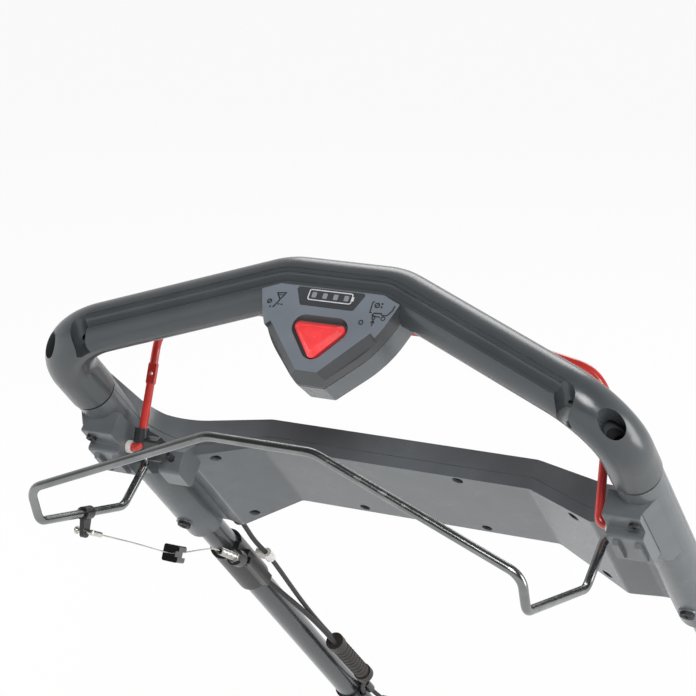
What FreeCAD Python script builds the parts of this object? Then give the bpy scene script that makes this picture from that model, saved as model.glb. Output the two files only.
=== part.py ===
import FreeCAD, Part
import math
import os

V = FreeCAD.Vector
ACROSS = V(1, 0, 0)
AWAY = V(0, 1, 0)
UP_TUBE = V(0, 0, 1)

# All lengths are millimetres. The handle is drawn in its leg frame: X runs across it,
# Y points away from the operator and square to the tubes, Z runs up along the tubes,
# and Z = 0 is the foot of the grip. place() then turns it to its working rake.

# Tubes and their fixing to the machine
TUBE_SPACING = 470.0
LEFT_X = -TUBE_SPACING / 2
TUBE_D = 25.0
TUBE_WALL = 1.5
TUBE_TOP = 42.0
TUBE_END = -770.0
FOLD_BOLT_UP = 20.0
FOLD_BOLT_D = 8.4
RAKE = 45.9
SEAT_GAP = 0.1
PART_GAP = 0.4
PLUG_FLANGE = 2.5
PLUG_DEPTH = 9.0

# Grip hoop
GRIP_D = 39.5
GRIP_WALL = 3.0
BAR_Z = 78.0
BAR_SLOPE = 22.5
CREST_X = 45.0
CREST_BEND = 50.0
CORNER_BEND = 47.0
PEEP_D = 17.5
PEEP_Y = -2.5
WIRE_DUCT_D = 14.0

# Seat for the drive bail along the operator's side of the bar
SEAT_OFFSET = 5.7
SEAT_HEIGHT = 19.3
SEAT_PAST = 7.5
SEAT_RISE = 10.5
SEAT_LEDGE_IN = -1.8
SEAT_LEDGE_DROP = 1.2
BAIL_CLEAR = 1.2
SCOOP_D = 15.0
SCOOP_FALL = 26.0
SCOOP_OUT = 12.0

# Drive bail
BAIL_ROD_D = 7.0
BAIL_SIDE = 10.0
PIVOT_Y = -25.0
DRIVE_PIVOT_Z = -68.8
DRIVE_SWING = 46.5
DRIVE_KNEE = (-48.5, 8.5)
DRIVE_ELBOW = (-112.5, 109.7)
STUB_INSET = 5.0
SWEEP_CLEAR = 0.8

# Presence bail
PRESENCE_ROD_D = 7.0
PRESENCE_PIVOT_Z = -49.0
PRESENCE_LEAN = 28.0
PRESENCE_SIDE = 11.0
PRESENCE_SHOULDER_IN = 5.0
PRESENCE_SHOULDER_UP = 110.7
PRESENCE_CREST = (120.0, 124.6)
PRESENCE_BENDS = [6.0, 34.0, 80.0]
FLAT_AT = 63.0
FLAT_LENGTH = 20.0
FLAT_WIDTH = 7.8
FLAT_THICK = 3.6
FLAT_ROUND = 3.0
FLAT_HOLE_D = 3.2
BUSH_D = 11.0
BUSH_LONG = 4.0

# Control pod, drawn on its own sloping face
POD_TILT = 4.76
POD_FACE_Z = 91.2
POD_BAR_Y = 78.7005768509
POD_TOP = 67.2
POD_SHOULDER = (58.0, 59.6)
POD_CREST_X = 40.0
POD_WAIST = (46.6, 27.0)
POD_WAIST_ROUND = 90.0
POD_TIP = (11.4, -8.4)
POD_PARTING = 15.4
POD_GAP = 0.8
POD_DEPTH = 40.0
POD_WALL = 3.0
POD_DRAFT = 1.6
POD_BEVEL_IN = 6.0
POD_BEVEL_DEEP = 6.5
POD_BEVEL_RUN = (33.2, 36.8)
TIP_BEVEL_DEEP = 13.5
WINDOW_TOP = (29.5, 65.0)
WINDOW_FOOT = (22.2, 50.2)
WINDOW_THICK = 1.5
BUTTON_TOP = (25.2, 37.0)
BUTTON_TIP = 6.0
BUTTON_ROUND = 4.0
BUTTON_PROUD = 3.8
BUTTON_TALL = 13.2
BUTTON_SLOPE_IN = 3.4
BUTTON_TRAVEL = 3.0
BUTTON_GAP = 0.4
WELL_MARGIN = (9.0, 6.0, 4.5)
WELL_FOOT = 2.0
WELL_DEEP = 3.2
BOARD_THICK = 1.6
BOARD_DOWN = 24.0
GUIDE_PITCH = 9.0
GUIDE_WIDTH = 3.6
GUIDE_TALL = 4.8
GUIDE_OFF_BAR = 78.95

# Cross-beam and the sleeves round the tubes
SLEEVE_STEP = 1.05
SLEEVE_TOP = -3.5
SLEEVE_END = -243.0
BEAM_TOP_Z = -97.0
BEAM_LOW_Z = -197.5
BEAM_FOLD_X = 120.5
BEAM_RIDGE_IN = 54.0
BEAM_RIDGE_Y = -8.0
BEAM_UNDER_Y = 15.2
BEAM_PART_Y = 25.0
BEAM_OVER_Y = 41.5
LEG_PART_Y = 4.0
BEAM_WALL = 3.0
BEAM_VALLEY_IN = 29.0
SWEEP_BEND = 55.0
BOSS_D = 10.0
SCREW_D = 4.0
SCREW_HEAD_D = 8.6
SCREW_HEAD_TALL = 2.6
SCREW_SINK = 2.4
RIDGE_SCREWS = ((20.0, -101.0), (16.0, -203.0))
MIDDLE_SCREWS = ((57.0, -190.0), (57.0, -103.0))

# Pivot blocks under the legs
BLOCK_INSET = 22.5
BLOCK_OUTSET = 15.0
BLOCK_TOP_Z = -18.6
BLOCK_STEP_Z = -38.0
BLOCK_KNUCKLE_Z = -84.0
BLOCK_LOW_Z = -98.0
CAP_FACE_Y = -30.5
KNUCKLE_Y = -37.5
PIVOT_FIT = 0.06
CAP_SCREW_OUT = 1.0
CAP_SCREW_Z = -28.5
LEG_BOLT_Z = -214.0
LEG_BOLT_D = 6.0
LEG_BOLT_HEAD_D = 12.0
LEG_BOLT_PAST = 2.0
LEG_BOLT_SPARE = 1.0

# Switch on the inner side of the left pivot block, and the cam that works it
HOUSING_SIDE = 17.0
HOUSING_WIDE = 20.5
HOUSING_PROFILE = ((-30.0, -104.0), (-30.0, -78.0), (-12.0, -73.0), (3.0, -86.0), (3.0, -104.0))
HOUSING_WALL = 2.5
PLUNGER_D = 5.0
PLUNGER_TOP_Z = -66.0
CAM_SIDE = 15.5
CAM_WIDE = 13.0
CAM_D = 12.0
CAM_REACH = (5.0, 17.0)

# Drive cable on the left side
TAB_AT = 0.46
TAB_DROP = 16.5
TAB_THICK = 2.0
TAB_WIDTH = 11.0
EYE_D = 4.0
WIRE_D = 1.2
FERRULE_D = 4.6
FERRULE_LONG = 16.0
BARREL_MOUTH = V(LEFT_X + 19, -22.5, -257.9)
BARREL_FOOT = V(LEFT_X + 16.4, -8.6, -308.5)
BARREL_D = 7.0
BARREL_BORE = 4.0
WIRE_SAG = 8.0
STOP_AT = 0.62
STOP_SIZE = 15.0
WIRE_TAIL = 36.0
SHEATH_D = 5.0
HARNESS_D = 4.6
CABLE_SEAT = 0.4
SHEATH_AT = (LEFT_X + TUBE_D / 2 + 5.0, -4.0)
HARNESS_AT = (LEFT_X + TUBE_D / 2 + 4.5, 7.5)
SHEATH_ROUTE = [BARREL_FOOT, V(LEFT_X + 15.4, -4, -327), V(LEFT_X + 15.8, -3.8, -352),
                V(LEFT_X + 22, -3.2, -388), V(LEFT_X + 29, -2.2, -430), V(LEFT_X + 32.8, -1.2, -472),
                V(LEFT_X + 34, -1, -514), V(LEFT_X + 37.2, -1, -606),
                V(*SHEATH_AT, -642), V(*SHEATH_AT, -676)]
HARNESS_ROUTE = [V(LEFT_X + 38, 5, -212), V(LEFT_X + 36, 5, -250), V(LEFT_X + 32, 4.5, -288),
                 V(LEFT_X + 36, 4, -316), V(LEFT_X + 34, 4, -352), V(LEFT_X + 31, 4, -392),
                 V(LEFT_X + 28.5, 4, -434), V(LEFT_X + 28, 4, -474), V(LEFT_X + 29.5, 4, -514),
                 V(LEFT_X + 32.7, 4, -606),
                 V(*HARNESS_AT, -642), V(*HARNESS_AT, -676), V(LEFT_X + 21.5, 9.5, -706)]
HARNESS_ENTRY = V(LEFT_X + 63, 14, -200)
GROMMET_D = 10.0
GROMMET_Z = (-239.0, -225.0)
CLIP_Z = (-322.0, -310.0)
CLIP_WALL = 2.4
COUPLING_FROM = V(LEFT_X + 31.8, 1.5, -516)
COUPLING_TO = V(LEFT_X + 34.9, 1.5, -604)
COUPLING_D = 15.6
COUPLING_RIM_D = 18.6
COUPLING_RIM = 9.0
BAND_Z = (-666.0, -648.0)
BAND_WALL = 2.2
PLUG_SIZE = (15.0, 12.0, 24.0)


def solid_of(shape):
    """The single solid of a boolean result."""
    return shape.Solids[0] if len(shape.Solids) == 1 else shape


def joined(solids):
    return solid_of(solids[0].multiFuse(solids[1:]).removeSplitter())


def without(shape, *tools):
    return solid_of(shape.cut(list(tools)))


def within(shape, tool):
    return solid_of(shape.common(tool))


def mirrored(shape):
    return shape.mirror(V(0, 0, 0), ACROSS)


def box(x0, x1, y0, y1, z0, z1):
    return Part.makeBox(x1 - x0, y1 - y0, z1 - z0, V(x0, y0, z0))


def bar(start, end, diameter):
    """A round bar between two points."""
    run = end - start
    return Part.makeCylinder(diameter / 2, run.Length, start, run)


def unit(vector):
    return V(vector).normalize()


def rounded_wire(points, radii):
    """A closed outline with its corners rounded by the given radii."""
    count = len(points)
    corners = []
    for i in range(count):
        point, radius = points[i], radii[i]
        back, ahead = unit(points[i - 1] - point), unit(points[(i + 1) % count] - point)
        if radius == 0:
            corners.append((point, None, point))
            continue
        half = back.getAngle(ahead) / 2
        reach = radius / math.tan(half)
        centre = point + unit(back + ahead) * (radius / math.sin(half))
        middle = centre + unit(point - centre) * radius
        corners.append((point + back * reach, middle, point + ahead * reach))
    edges = []
    for i in range(count):
        start, middle, end = corners[i]
        if middle is not None:
            edges.append(Part.Arc(start, middle, end).toShape())
        following = corners[(i + 1) % count][0]
        if end.distanceToPoint(following) > 1e-6:
            edges.append(Part.LineSegment(end, following).toShape())
    return Part.Wire(edges)


def plate(points, radii, depth):
    """An outline with rounded corners, drawn out along a vector."""
    return Part.Face(rounded_wire(points, radii)).extrude(depth)


def plate_xy(outline, z0, z1, radii=None):
    points = [V(x, y, z0) for x, y in outline]
    return plate(points, radii or [0] * len(points), V(0, 0, z1 - z0))


def plate_yz(outline, x0, x1, radii=None):
    points = [V(x0, y, z) for y, z in outline]
    return plate(points, radii or [0] * len(points), V(x1 - x0, 0, 0))


def plate_xz(outline, y0, y1, radii=None):
    points = [V(x, y0, z) for x, z in outline]
    return plate(points, radii or [0] * len(points), V(0, y1 - y0, 0))


def both_sides(outline):
    """A half outline from the middle line, with its mirror image."""
    return outline + [(-x, y) for x, y in reversed(outline)]


def bent_bar(points, bends, diameter):
    """A round bar through the points, bent to the given radius at each inner one."""
    solids = []
    here = points[0]
    for i, bend in enumerate(bends, start=1):
        before, after = unit(points[i] - points[i - 1]), unit(points[i + 1] - points[i])
        turn = before.getAngle(after)
        reach = bend * math.tan(turn / 2)
        start = points[i] - before * reach
        axis = unit(before.cross(after))
        centre = start + axis.cross(before) * bend
        disc = Part.Face(Part.Wire(Part.makeCircle(diameter / 2, start, before)))
        solids.append(bar(here, start, diameter))
        solids.append(disc.revolve(centre, axis, math.degrees(turn)))
        here = points[i] + after * reach
    solids.append(bar(here, points[-1], diameter))
    return joined(solids)


def cord_bends(points):
    """The largest easy bends of a cord's route: 0.45 of the shorter run beside each point."""
    bends = []
    for i in range(1, len(points) - 1):
        before, after = points[i] - points[i - 1], points[i + 1] - points[i]
        turn = before.getAngle(after)
        bends.append(0.45 * min(before.Length, after.Length) / math.tan(turn / 2))
    return bends


def about_pivot(y, z, pivot_z, degrees):
    """A point given from a pivot, turned about it towards the operator, in the leg frame."""
    turn = math.radians(degrees)
    return (PIVOT_Y + y * math.cos(turn) - z * math.sin(turn),
            pivot_z + y * math.sin(turn) + z * math.cos(turn))


# Values that follow from the driving dimensions
ARM_X = TUBE_SPACING / 2
SLEEVE_D = GRIP_D - 2 * SLEEVE_STEP
GUIDE_Y = GUIDE_OFF_BAR - GRIP_D / 2
BEAM_RIDGE = (ARM_X - BEAM_RIDGE_IN, BEAM_RIDGE_Y)
BEAM_VALLEY_X = ARM_X - BEAM_VALLEY_IN
SHELL_SCREWS = tuple((BEAM_RIDGE[0] - x, z) for x, z in RIDGE_SCREWS) + MIDDLE_SCREWS
BLOCK_IN_X = ARM_X - BLOCK_INSET
BLOCK_OUT_X = ARM_X + BLOCK_OUTSET
CAP_SCREW = (ARM_X + CAP_SCREW_OUT, CAP_SCREW_Z)
STUB_END_X = ARM_X - STUB_INSET
BAIL_HALF = BLOCK_IN_X - BAIL_SIDE
SEAT_END_X = BAIL_HALF + SEAT_PAST
PRESENCE_HALF = BLOCK_IN_X - PRESENCE_SIDE
PRESENCE_SHOULDER = (PRESENCE_HALF - PRESENCE_SHOULDER_IN, PRESENCE_SHOULDER_UP)
HOUSING_X = (HOUSING_SIDE - BLOCK_IN_X, HOUSING_SIDE + HOUSING_WIDE - BLOCK_IN_X)
CAM_X = (CAM_SIDE - BLOCK_IN_X, CAM_SIDE + CAM_WIDE - BLOCK_IN_X)
SLOPE = math.radians(BAR_SLOPE)
BAR_RISE = (ARM_X - CREST_X) * math.tan(SLOPE)
SEAT_Z = BAR_Z + SEAT_HEIGHT
FOLD_BOLT_Z = TUBE_END + FOLD_BOLT_UP
HOOP = [V(-ARM_X, 0, 0), V(-ARM_X, 0, BAR_Z), V(-CREST_X, BAR_RISE, BAR_Z),
        V(CREST_X, BAR_RISE, BAR_Z), V(ARM_X, 0, BAR_Z), V(ARM_X, 0, 0)]
HOOP_BENDS = [CORNER_BEND, CREST_BEND, CREST_BEND, CORNER_BEND]
PARTS = {}


def place(shape):
    """Turn a piece from the leg frame to the working rake, with the fold bolts' axis at the origin."""
    moved = shape.copy()
    moved.translate(V(0, 0, -FOLD_BOLT_Z))
    moved.rotate(V(0, 0, 0), ACROSS, RAKE)
    return moved


def keep(name, shape):
    PARTS[name] = shape


def hoop(diameter):
    return bent_bar(HOOP, HOOP_BENDS, diameter)


def inner_side():
    """The room behind the grip's parting line: the bar's back and the legs' inner halves."""
    inward = V(-math.cos(SLOPE), math.sin(SLOPE), 0)
    square = V(math.sin(SLOPE), math.cos(SLOPE), 0)
    axis = V(ARM_X, 0, 0)
    reach = 1.2 * ARM_X
    depth = 2 * TUBE_SPACING

    def at(inwards, z):
        return axis + inward * inwards + V(0, 0, z) - square * depth / 2

    knee = CORNER_BEND * (1 - math.sqrt(0.5))
    edges = [Part.LineSegment(at(0, -BAR_Z), at(0, BAR_Z - CORNER_BEND)).toShape(),
             Part.Arc(at(0, BAR_Z - CORNER_BEND), at(knee, BAR_Z - knee), at(CORNER_BEND, BAR_Z)).toShape(),
             Part.LineSegment(at(CORNER_BEND, BAR_Z), at(reach, BAR_Z)).toShape(),
             Part.LineSegment(at(reach, BAR_Z), at(reach, -BAR_Z)).toShape(),
             Part.LineSegment(at(reach, -BAR_Z), at(0, -BAR_Z)).toShape()]
    right = Part.Face(Part.Wire(edges)).extrude(square * depth)
    right = within(right, box(0, TUBE_SPACING, -depth, depth, -depth, depth))
    return joined([right, mirrored(right)])


def bar_channel(outline):
    """An outline of (offset from the bar's middle, height) swept along the sloping bar and its crest."""
    bend_x = CREST_X - CREST_BEND * math.tan(SLOPE / 2)
    face = Part.Face(Part.makePolygon([V(0, BAR_RISE + o, z) for o, z in outline + outline[:1]]))
    crest = face.extrude(V(bend_x, 0, 0))
    turned = face.copy()
    turned.translate(V(bend_x, 0, 0))
    axis = V(bend_x, BAR_RISE - CREST_BEND, 0)
    bend = turned.revolve(axis, UP_TUBE, -BAR_SLOPE)
    turned.rotate(axis, UP_TUBE, -BAR_SLOPE)
    slope_start = CREST_X + CREST_BEND * math.tan(SLOPE / 2) * math.cos(SLOPE)
    run = (SEAT_END_X - slope_start) / math.cos(SLOPE)
    slope = turned.extrude(V(math.cos(SLOPE), -math.sin(SLOPE), 0) * run)
    right = joined([crest, bend, slope])
    return joined([right, mirrored(right)])


def seated_bail():
    """The drive bail's top as it lies in its seat: half crest and corner, in the leg frame."""
    crest_x = CREST_X - SEAT_OFFSET * math.tan(SLOPE / 2)
    corner_y = (ARM_X - BAIL_HALF) * math.tan(SLOPE) - SEAT_OFFSET / math.cos(SLOPE)
    return V(crest_x, BAR_RISE - SEAT_OFFSET, SEAT_Z), V(BAIL_HALF, corner_y, SEAT_Z)


def turned_back(point, degrees):
    y, z = about_pivot(point.y - PIVOT_Y, point.z - DRIVE_PIVOT_Z, DRIVE_PIVOT_Z, degrees)
    return V(point.x, y, z)


def drive_route(degrees):
    """Half the drive bail's route, pulled up by the given angle from rest."""
    crest, corner = (turned_back(p, DRIVE_SWING - degrees) for p in seated_bail())
    knee = V(BAIL_HALF, *about_pivot(*DRIVE_KNEE, DRIVE_PIVOT_Z, -degrees))
    elbow = V(BAIL_HALF, *about_pivot(*DRIVE_ELBOW, DRIVE_PIVOT_Z, -degrees))
    stub = V(STUB_END_X, PIVOT_Y, DRIVE_PIVOT_Z)
    return [stub, V(BAIL_HALF, PIVOT_Y, DRIVE_PIVOT_Z), knee, elbow, corner, crest]


def whole(half):
    """A half route from the right-hand end, with its mirror image."""
    return half + [V(-p.x, p.y, p.z) for p in reversed(half)]


DRIVE_BENDS = [9.0, 14.0, 12.0, 15.0, 28.0]


def make_grip():
    whole_hoop = hoop(GRIP_D)
    back_room = inner_side()
    top = BAR_Z + GRIP_D
    wide = GRIP_D
    ledge_z = BAR_Z + GRIP_D / 2 - SEAT_LEDGE_DROP
    ledge = bar_channel([(-SEAT_LEDGE_IN, top), (-SEAT_LEDGE_IN, ledge_z), (-wide, ledge_z), (-wide, top)])
    stub, pivot, knee, elbow, corner, crest = drive_route(DRIVE_SWING)
    seat = bent_bar(whole([elbow, corner, crest]), DRIVE_BENDS[3:] + DRIVE_BENDS[:2:-1],
                    BAIL_ROD_D + 2 * BAIL_CLEAR)
    floor = SEAT_Z - BAIL_ROD_D / 2 - BAIL_CLEAR / 2
    rise = (wide - SEAT_OFFSET) * math.tan(math.radians(SEAT_RISE))
    mouth = bar_channel([(-SEAT_OFFSET, top), (-SEAT_OFFSET, floor), (-wide, floor + rise), (-wide, top)])
    scoop = joined([bar(corner, corner - V(0, SCOOP_OUT, SCOOP_FALL), SCOOP_D),
                    Part.makeSphere(SCOOP_D / 2, corner)])
    tube_bores = [bar(V(x, 0, -1), V(x, 0, TUBE_TOP), TUBE_D + 2 * SEAT_GAP) for x in (-ARM_X, ARM_X)]
    peeps = [bar(V(x, PEEP_Y, TUBE_TOP), V(x, PEEP_Y, top), PEEP_D) for x in (-ARM_X, ARM_X)]
    front = without(whole_hoop, back_room, seat, mouth, ledge, scoop, mirrored(scoop), *tube_bores, *peeps)
    keep("grip_front_shell", without(front, bent_bar(HOOP, HOOP_BENDS, WIRE_DUCT_D)))
    rear = within(whole_hoop, back_room)
    hollow = bent_bar(HOOP[1:-1], HOOP_BENDS[1:-1], GRIP_D - 2 * GRIP_WALL)
    clear_x = ARM_X - CORNER_BEND
    hollow = within(hollow, box(-clear_x, clear_x, -top, 2 * top, 0, 2 * top))
    keep("grip_rear_shell", without(rear, hollow, *tube_bores, *peeps))


def make_tubes():
    bolt = bar(V(-TUBE_SPACING, 0, FOLD_BOLT_Z), V(TUBE_SPACING, 0, FOLD_BOLT_Z), FOLD_BOLT_D)
    plugs = []
    for name, x in (("left_tube", -ARM_X), ("right_tube", ARM_X)):
        outer = bar(V(x, 0, TUBE_END), V(x, 0, TUBE_TOP), TUBE_D)
        inner = bar(V(x, 0, TUBE_END - 1), V(x, 0, TUBE_TOP + 1), TUBE_D - 2 * TUBE_WALL)
        leg_hole = bar(V(x, -TUBE_D, LEG_BOLT_Z), V(x, TUBE_D, LEG_BOLT_Z), LEG_BOLT_D + 2 * SEAT_GAP)
        keep(name, without(outer, inner, bolt, leg_hole))
        flange = bar(V(x, 0, TUBE_END - PLUG_FLANGE), V(x, 0, TUBE_END), TUBE_D)
        stem = bar(V(x, 0, TUBE_END), V(x, 0, TUBE_END + PLUG_DEPTH), TUBE_D - 2 * TUBE_WALL - 2 * SEAT_GAP)
        plugs.append(joined([flange, stem]))
    keep("tube_end_plugs", Part.makeCompound(plugs))


def beam_outline(inset):
    """The cross-beam seen along the tubes: a bridge that thins towards its middle."""
    half = [(0, BEAM_UNDER_Y + inset), (BEAM_FOLD_X, BEAM_UNDER_Y + inset),
            (BEAM_RIDGE[0] - inset, BEAM_RIDGE[1] + inset), (BEAM_VALLEY_X - inset, inset),
            (ARM_X - inset, inset), (ARM_X - inset, SLEEVE_D / 2 - inset),
            (BEAM_VALLEY_X - inset, SLEEVE_D / 2 + 1.5 - inset), (BEAM_FOLD_X, BEAM_OVER_Y - inset),
            (0, BEAM_OVER_Y - inset)]
    radii = [0, 14, 6, 6, 0, 0, 10, 20, 0]
    return both_sides(half[1:-1]), radii[1:-1] + list(reversed(radii[1:-1]))


def beam_plan(inset):
    """The cross-beam seen square to the tubes, with its upper edge swept into the legs."""
    low_corner = BEAM_LOW_Z - 23.5
    half = [(BEAM_FOLD_X, BEAM_TOP_Z - inset), (ARM_X - SLEEVE_D / 2 - 4 - inset, BEAM_TOP_Z + 12 - inset),
            (ARM_X - 7 - inset, SLEEVE_TOP - 2 - inset), (ARM_X - inset, SLEEVE_TOP - 2 - inset),
            (ARM_X - inset, SLEEVE_END + 6 + inset), (BEAM_VALLEY_X - inset, SLEEVE_END + 8 + inset),
            (BEAM_RIDGE[0] - inset, low_corner + inset), (BEAM_FOLD_X, BEAM_LOW_Z + inset)]
    radii = [30, SWEEP_BEND, 0, 0, 0, 0, 5, 12]
    return both_sides(half), radii + list(reversed(radii))


def beam_body(inset):
    span = TUBE_SPACING
    outline, radii = beam_outline(inset)
    seen_along = plate_xy(outline, -span, span, radii)
    plan, plan_radii = beam_plan(inset)
    return within(seen_along, plate_xz(plan, -span, span, plan_radii))


def parting_room(lift):
    """Everything above the beam's parting surface."""
    top = TUBE_SPACING
    drop_x = BEAM_FOLD_X + (BEAM_PART_Y - LEG_PART_Y) / math.tan(math.radians(20.6))
    half = [(BEAM_FOLD_X, BEAM_PART_Y + lift), (drop_x, LEG_PART_Y + lift), (top, LEG_PART_Y + lift),
            (top, top)]
    return plate_xy(both_sides(half), -top, top)


def under_y(x):
    """Height of the beam's underside at a distance from the middle."""
    x = abs(x)
    if x <= BEAM_FOLD_X:
        return BEAM_UNDER_Y
    fall = (BEAM_RIDGE[1] - BEAM_UNDER_Y) / (BEAM_RIDGE[0] - BEAM_FOLD_X)
    return BEAM_UNDER_Y + fall * (x - BEAM_FOLD_X)


def screw(x, z, seat_y, length, head_d=SCREW_HEAD_D, shank_d=SCREW_D):
    """A pan-head screw driven in along +Y, with its head under the seat and a cross recess in it."""
    head = bar(V(x, seat_y - SCREW_HEAD_TALL, z), V(x, seat_y, z), head_d)
    shank = bar(V(x, seat_y, z), V(x, seat_y + length, z), shank_d)
    slot = 0.28 * head_d
    low = seat_y - SCREW_HEAD_TALL
    cross = [box(x - slot, x + slot, low - 1, low + 1.3, z - 0.6, z + 0.6),
             box(x - 0.6, x + 0.6, low - 1, low + 1.3, z - slot, z + slot)]
    return without(joined([head, shank]), *cross)


def pivot_block():
    """The right-hand block under the leg that carries both bails' ends."""
    root_y = -SLEEVE_D / 4
    profile = [(root_y, BLOCK_TOP_Z), (PIVOT_Y, BLOCK_TOP_Z), (PIVOT_Y, BLOCK_LOW_Z),
               (-SLEEVE_D / 2 - 1, BLOCK_LOW_Z - 10), (root_y, BLOCK_LOW_Z - 10)]
    block = plate_yz(profile, BLOCK_IN_X, BLOCK_OUT_X)
    shoulder = plate_xy([(BLOCK_OUT_X - 8, PIVOT_Y - 1), (BLOCK_OUT_X + 1, PIVOT_Y - 1),
                         (BLOCK_OUT_X + 1, root_y)],
                        BLOCK_LOW_Z - 20, 0)
    return without(block, shoulder)


def make_beam():
    sides = (-ARM_X, ARM_X)
    sleeves = [bar(V(x, 0, SLEEVE_END), V(x, 0, SLEEVE_TOP), SLEEVE_D) for x in sides]
    pad_y = -SLEEVE_D / 2 - 0.8
    pads = [bar(V(x, pad_y, LEG_BOLT_Z), V(x, 0, LEG_BOLT_Z), LEG_BOLT_HEAD_D + 4) for x in sides]
    outside = joined([beam_body(0)] + sleeves + pads + [pivot_block(), mirrored(pivot_block())])
    hollow = within(beam_body(BEAM_WALL), box(-BEAM_RIDGE[0], BEAM_RIDGE[0], -100, 100, -400, 0))
    bores = [bar(V(x, 0, SLEEVE_END - 1), V(x, 0, 0), TUBE_D + 2 * SEAT_GAP) for x in sides]
    bosses, holes, screws = [], [], []
    for x, z in [(side * x, z) for x, z in SHELL_SCREWS for side in (-1, 1)]:
        foot = under_y(x)
        seat_y = foot + SCREW_SINK + SCREW_HEAD_TALL
        bosses.append(within(bar(V(x, foot - 20, z), V(x, BEAM_OVER_Y, z), BOSS_D), outside))
        holes.append(bar(V(x, foot - 20, z), V(x, seat_y, z), SCREW_HEAD_D + 0.6))
        holes.append(bar(V(x, foot, z), V(x, seat_y + 18, z), SCREW_D + 2 * SEAT_GAP))
        screws.append(screw(x, z, seat_y, 17.0))
    keep("shell_screws", Part.makeCompound(screws))
    bolt_end = TUBE_D / 2 + LEG_BOLT_PAST
    for x in sides:
        holes.append(bar(V(x, -40, LEG_BOLT_Z), V(x, bolt_end + LEG_BOLT_SPARE, LEG_BOLT_Z),
                         LEG_BOLT_D + 2 * SEAT_GAP))
    keep("leg_bolts", Part.makeCompound([screw(x, LEG_BOLT_Z, pad_y, bolt_end - pad_y, LEG_BOLT_HEAD_D,
                                               LEG_BOLT_D) for x in sides]))
    full = joined([without(outside, hollow)] + bosses)
    exit_point = HARNESS_ROUTE[0]
    holes.append(bar(exit_point, V(exit_point.x, exit_point.y, SLEEVE_END), GROMMET_D + 2 * SEAT_GAP))
    holes.append(bar(exit_point, HARNESS_ENTRY, HARNESS_D + 4))
    full = without(full, *bores, *holes, *pivot_sockets(), *cap_screw_holes())
    make_switch(outside)
    keep("crossbeam_upper_shell", within(full, parting_room(PART_GAP)))
    keep("crossbeam_lower_shell", without(full, parting_room(0)))


def make_switch(beam):
    """The switch housing hung under the beam's left end, and the switch inside it."""
    x0, x1 = HOUSING_X
    shell = plate_yz(HOUSING_PROFILE, x0, x1, [4.0, 4.0, 3.0, 0, 0])
    room_y, room_z = (-27.0, -10.0), (-101.0, -79.0)
    wall = HOUSING_WALL
    room = box(x0 + wall, x1 - wall, *room_y, *room_z)
    middle = V((x0 + x1) / 2, sum(room_y) / 2, room_z[0])
    plunger = bar(middle, V(middle.x, middle.y, PLUNGER_TOP_Z), PLUNGER_D)
    sleeve = bar(middle, V(middle.x, middle.y, PLUNGER_TOP_Z), PLUNGER_D + 2 * PART_GAP)
    keep("switch_housing", without(shell, beam, room, sleeve))
    body = box(x0 + wall + 2, x1 - wall - 2, room_y[0] + 3, room_y[1] - 3, room_z[0], room_z[1] - 4)
    keep("presence_switch", joined([body, plunger]))


def pivot_sockets():
    sockets = []
    for z, d in ((DRIVE_PIVOT_Z, BAIL_ROD_D), (PRESENCE_PIVOT_Z, PRESENCE_ROD_D)):
        for side in (-1, 1):
            start, end = V(side * (BLOCK_IN_X - 2), PIVOT_Y, z), V(side * (STUB_END_X + 1), PIVOT_Y, z)
            sockets.append(bar(start, end, d + 2 * PIVOT_FIT))
    return sockets


def cap_screw_holes():
    x, z = CAP_SCREW
    return [bar(V(side * x, CAP_FACE_Y - 1, z), V(side * x, CAP_FACE_Y + 15, z), SCREW_D + 2 * SEAT_GAP)
            for side in (-1, 1)]


def make_pivot_caps():
    outer_x = BLOCK_OUT_X - 8
    profile = [(PIVOT_Y, BLOCK_TOP_Z), (CAP_FACE_Y, BLOCK_TOP_Z), (CAP_FACE_Y, BLOCK_STEP_Z),
               (KNUCKLE_Y, BLOCK_STEP_Z), (KNUCKLE_Y, BLOCK_KNUCKLE_Z + 5), (PIVOT_Y, BLOCK_KNUCKLE_Z)]
    cap = plate_yz(profile, BLOCK_IN_X, outer_x, [0, 1.5, 1.0, 2.5, 3.0, 0])
    rib = plate_yz([(KNUCKLE_Y + 1, BLOCK_STEP_Z - 6), (KNUCKLE_Y - 3, BLOCK_STEP_Z - 10),
                    (KNUCKLE_Y - 3, BLOCK_KNUCKLE_Z + 14), (KNUCKLE_Y + 1, BLOCK_KNUCKLE_Z + 8)], 0, 5)
    ribs = []
    for x in (BLOCK_IN_X + 4, outer_x - 8):
        one = rib.copy()
        one.translate(V(x, 0, 0))
        ribs.append(one)
    cap = without(joined([cap] + ribs), *pivot_sockets(), *cap_screw_holes())
    keep("right_pivot_cap", cap)
    keep("left_pivot_cap", mirrored(cap))
    x, z = CAP_SCREW
    keep("cap_screws", Part.makeCompound([screw(side * x, z, CAP_FACE_Y, 14.0) for side in (-1, 1)]))


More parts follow.
